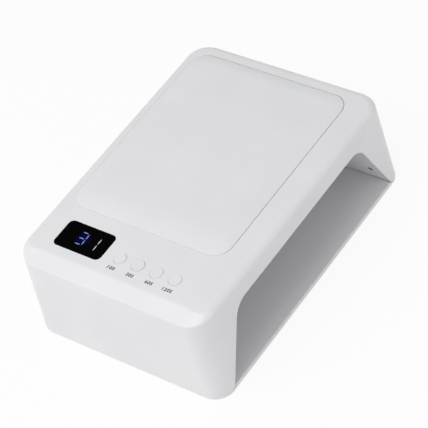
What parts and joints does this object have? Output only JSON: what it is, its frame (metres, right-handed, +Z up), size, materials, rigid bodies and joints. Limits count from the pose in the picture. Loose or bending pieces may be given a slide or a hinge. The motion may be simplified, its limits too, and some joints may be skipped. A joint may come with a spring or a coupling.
{
  "type": "nail lamp",
  "caption": "White tabletop LED nail lamp: a hand cavity open at the front, a raised hand rest on top, and a control end with a display window and push buttons.",
  "frame": {"origin": "on the surface that the feet stand on, under the middle of the lamp", "axes": "+X along the lamp from the control end to the far end, -Y out of the hand opening, +Z up"},
  "size_m": [0.26, 0.1806, 0.0886],
  "materials": {
    "white_shell": "satin white moulded ABS",
    "liner_grey": "pale grey, fine texture",
    "floor_metal": "satin sheet",
    "display_black": "gloss smoked acrylic",
    "black_parts": "black moulded plastic",
    "plunger_white": "white nylon",
    "circuit_board": "green solder mask",
    "led_board": "white-coated aluminium board",
    "clear_lens": "clear polycarbonate",
    "screw_steel": "plated steel",
    "foot_rubber": "black rubber",
    "lead_black": "black insulated lead",
    "lead_grey": "grey insulated lead",
    "lead_red": "red insulated lead"
  },
  "bodies": {
    "base": {"base_plate": "white_shell", "floor_sheet": "floor_metal", "foot_1": "foot_rubber", "foot_2": "foot_rubber", "foot_3": "foot_rubber", "foot_4": "foot_rubber", "steel_disc_1": "screw_steel", "steel_disc_2": "screw_steel", "steel_disc_3": "screw_steel", "steel_disc_4": "screw_steel"},
    "housing": {"housing": "white_shell", "hand_rest": "white_shell", "cavity_liner": "liner_grey", "display_window": "display_black", "display_module": "black_parts", "dc_inlet": "black_parts", "ir_emitter": "black_parts", "ir_receiver": "black_parts", "switch_10s": "black_parts", "switch_30s": "black_parts", "switch_60s": "black_parts", "switch_120s": "black_parts", "control_board": "circuit_board", "driver_board": "circuit_board", "led_board_ceiling": "led_board", "led_board_near": "led_board", "led_board_far": "led_board", "lens_plate_ceiling": "clear_lens", "lens_plate_near": "clear_lens", "lens_plate_far": "clear_lens", "liner_screw_1": "screw_steel", "liner_screw_2": "screw_steel", "liner_screw_3": "screw_steel", "liner_screw_4": "screw_steel", "control_board_screw_1": "screw_steel", "control_board_screw_2": "screw_steel", "control_board_screw_3": "screw_steel", "control_board_screw_4": "screw_steel", "driver_board_screw_1": "screw_steel", "driver_board_screw_2": "screw_steel", "led_board_screw_1": "screw_steel", "led_board_screw_2": "screw_steel", "magnet_1": "screw_steel", "magnet_2": "screw_steel", "magnet_3": "screw_steel", "magnet_4": "screw_steel", "inlet_lead": "lead_black", "control_lead": "lead_grey", "led_lead_ceiling": "lead_red", "led_lead_near": "lead_red", "led_lead_far": "lead_red"},
    "button_10s": {"button_10s": "white_shell", "plunger_10s": "plunger_white"},
    "button_30s": {"button_30s": "white_shell", "plunger_30s": "plunger_white"},
    "button_60s": {"button_60s": "white_shell", "plunger_60s": "plunger_white"},
    "button_120s": {"button_120s": "white_shell", "plunger_120s": "plunger_white"}
  },
  "joints": [
    {"name": "housing_lift", "type": "slide", "parent": "base", "child": "housing", "axis": [0, 0, 1], "range_m": [0, 0.12]},
    {"name": "press_10s", "type": "slide", "parent": "housing", "child": "button_10s", "axis": [0, 0, -1], "range_m": [0, 0.0006], "stiffness_N_per_m": 400, "springref_m": -0.0006},
    {"name": "press_30s", "type": "slide", "parent": "housing", "child": "button_30s", "axis": [0, 0, -1], "range_m": [0, 0.0006], "stiffness_N_per_m": 400, "springref_m": -0.0006},
    {"name": "press_60s", "type": "slide", "parent": "housing", "child": "button_60s", "axis": [0, 0, -1], "range_m": [0, 0.0006], "stiffness_N_per_m": 400, "springref_m": -0.0006},
    {"name": "press_120s", "type": "slide", "parent": "housing", "child": "button_120s", "axis": [0, 0, -1], "range_m": [0, 0.0006], "stiffness_N_per_m": 400, "springref_m": -0.0006}
  ]
}
